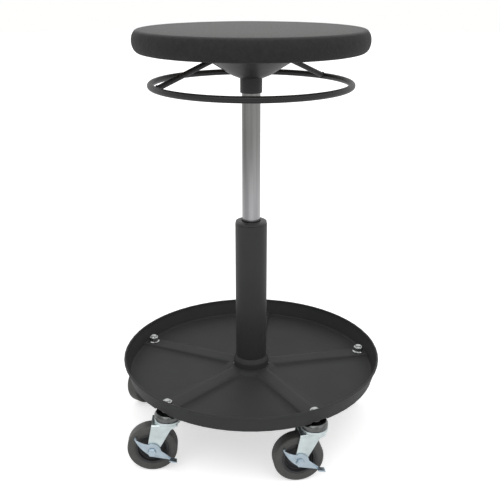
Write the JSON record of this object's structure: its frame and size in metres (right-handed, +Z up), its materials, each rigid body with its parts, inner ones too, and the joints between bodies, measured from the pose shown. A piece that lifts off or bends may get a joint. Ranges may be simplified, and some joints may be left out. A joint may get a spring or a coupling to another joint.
{
  "type": "rolling shop stool",
  "caption": "Round padded shop stool on a gas lift with a lift ring under the seat, a round tool tray at the base and swivel casters, the front ones braked.",
  "frame": {"origin": "on the floor, under the axis of the column", "axes": "+Z up along the column, -Y towards the side that the picture shows, +X to its right"},
  "size_m": [0.4241, 0.4176, 0.6437],
  "materials": {
    "seat_foam": "moulded polyurethane with a fine pebbled skin",
    "black_paint": "satin black",
    "tray_paint": "charcoal powder coat",
    "black_plastic": "moulded",
    "chrome_tube": "satin",
    "zinc": "bright zinc plate",
    "bright_steel": "ground",
    "tyre_rubber": "matte",
    "wheel_core": "moulded",
    "plywood": "raw"
  },
  "bodies": {
    "base": {"tool_tray": "tray_paint", "column_socket": "black_paint", "column_tube": "black_paint", "guide_bush": "black_plastic", "thrust_bearing": "bright_steel", "rod_bumper": "tyre_rubber", "caster_1_nut": "zinc", "caster_1_stem": "zinc", "caster_2_nut": "zinc", "caster_2_stem": "zinc", "caster_3_nut": "zinc", "caster_3_stem": "zinc", "caster_4_nut": "zinc", "caster_4_stem": "zinc", "caster_5_nut": "zinc", "caster_5_stem": "zinc"},
    "rod": {"piston_rod": "bright_steel", "rod_clip": "bright_steel", "piston": "black_plastic"},
    "seat": {"seat_cushion": "seat_foam", "seat_board": "plywood", "mount_cone": "black_paint", "taper_socket": "black_paint", "gas_cylinder": "chrome_tube", "cylinder_end_guide": "black_plastic", "seat_screw_1": "zinc", "seat_screw_2": "zinc", "seat_screw_3": "zinc", "seat_screw_4": "zinc"},
    "ring": {"lift_ring": "black_paint", "release_plate": "zinc"},
    "valve": {"valve_button": "bright_steel"},
    "caster_1_yoke": {"caster_1_fork": "zinc", "caster_1_axle": "zinc", "caster_1_ball_ring": "bright_steel"},
    "caster_1_wheel": {"caster_1_wheel_core": "wheel_core", "caster_1_tyre": "tyre_rubber"},
    "caster_2_yoke": {"caster_2_fork": "zinc", "caster_2_axle": "zinc", "caster_2_ball_ring": "bright_steel"},
    "caster_2_wheel": {"caster_2_wheel_core": "wheel_core", "caster_2_tyre": "tyre_rubber"},
    "caster_3_yoke": {"caster_3_fork": "zinc", "caster_3_axle": "zinc", "caster_3_ball_ring": "bright_steel"},
    "caster_3_wheel": {"caster_3_wheel_core": "wheel_core", "caster_3_tyre": "tyre_rubber"},
    "caster_4_yoke": {"caster_4_fork": "zinc", "caster_4_axle": "zinc", "caster_4_ball_ring": "bright_steel"},
    "caster_4_wheel": {"caster_4_wheel_core": "wheel_core", "caster_4_tyre": "tyre_rubber"},
    "caster_4_brake": {"caster_4_brake_lever": "zinc"},
    "caster_5_yoke": {"caster_5_fork": "zinc", "caster_5_axle": "zinc", "caster_5_ball_ring": "bright_steel"},
    "caster_5_wheel": {"caster_5_wheel_core": "wheel_core", "caster_5_tyre": "tyre_rubber"},
    "caster_5_brake": {"caster_5_brake_lever": "zinc"}
  },
  "joints": [
    {"name": "seat_swivel", "type": "hinge", "parent": "base", "child": "rod", "pos_m": [0, 0, 0.088], "axis": [0, 0, 1], "continuous": true},
    {"name": "seat_lift", "type": "slide", "parent": "rod", "child": "seat", "axis": [0, 0, 1], "range_m": [-0.18, 0]},
    {"name": "ring_lift", "type": "hinge", "parent": "seat", "child": "ring", "pos_m": [-0.05746, -0.02583, 0.59907], "axis": [-0.4099, 0.9121, 0], "range_deg": [0, 2.5], "stiffness_Nm_per_rad": 20, "springref_deg": -2.01},
    {"name": "valve_press", "type": "slide", "parent": "seat", "child": "valve", "axis": [0, 0, 1], "range_m": [-0.0028, 0]},
    {"name": "caster_1_swivel", "type": "hinge", "parent": "base", "child": "caster_1_yoke", "pos_m": [0.18386, 0.03875, 0.082], "axis": [0, 0, 1], "continuous": true},
    {"name": "caster_1_roll", "type": "hinge", "parent": "caster_1_yoke", "child": "caster_1_wheel", "pos_m": [0.16379, 0.0528, 0.038], "axis": [0.5736, 0.8192, 0], "continuous": true},
    {"name": "caster_2_swivel", "type": "hinge", "parent": "base", "child": "caster_2_yoke", "pos_m": [0.01997, 0.18684, 0.082], "axis": [0, 0, 1], "continuous": true},
    {"name": "caster_2_roll", "type": "hinge", "parent": "caster_2_yoke", "child": "caster_2_wheel", "pos_m": [-0.00416, 0.18258, 0.038], "axis": [-0.1736, 0.9848, 0], "continuous": true},
    {"name": "caster_3_swivel", "type": "hinge", "parent": "base", "child": "caster_3_yoke", "pos_m": [-0.17152, 0.07673, 0.082], "axis": [0, 0, 1], "continuous": true},
    {"name": "caster_3_roll", "type": "hinge", "parent": "caster_3_yoke", "child": "caster_3_wheel", "pos_m": [-0.18557, 0.05666, 0.038], "axis": [-0.8192, 0.5736, 0], "continuous": true},
    {"name": "caster_4_swivel", "type": "hinge", "parent": "base", "child": "caster_4_yoke", "pos_m": [-0.12597, -0.13942, 0.082], "axis": [0, 0, 1], "continuous": true},
    {"name": "caster_4_roll", "type": "hinge", "parent": "caster_4_yoke", "child": "caster_4_wheel", "pos_m": [-0.15044, -0.1407, 0.038], "axis": [-0.0523, 0.9986, 0], "continuous": true},
    {"name": "caster_4_brake_turn", "type": "hinge", "parent": "caster_4_yoke", "child": "caster_4_brake", "pos_m": [-0.15044, -0.1407, 0.038], "axis": [0.0523, -0.9986, 0], "range_deg": [0, 26]},
    {"name": "caster_5_swivel", "type": "hinge", "parent": "base", "child": "caster_5_yoke", "pos_m": [0.09367, -0.16289, 0.082], "axis": [0, 0, 1], "continuous": true},
    {"name": "caster_5_roll", "type": "hinge", "parent": "caster_5_yoke", "child": "caster_5_wheel", "pos_m": [0.06947, -0.16672, 0.038], "axis": [-0.1564, 0.9877, 0], "continuous": true},
    {"name": "caster_5_brake_turn", "type": "hinge", "parent": "caster_5_yoke", "child": "caster_5_brake", "pos_m": [0.06947, -0.16672, 0.038], "axis": [0.1564, -0.9877, 0], "range_deg": [0, 26]}
  ],
  "couplings": [
    {"joint": "valve_press", "follows": "ring_lift", "m_per_rad": -0.063}
  ]
}
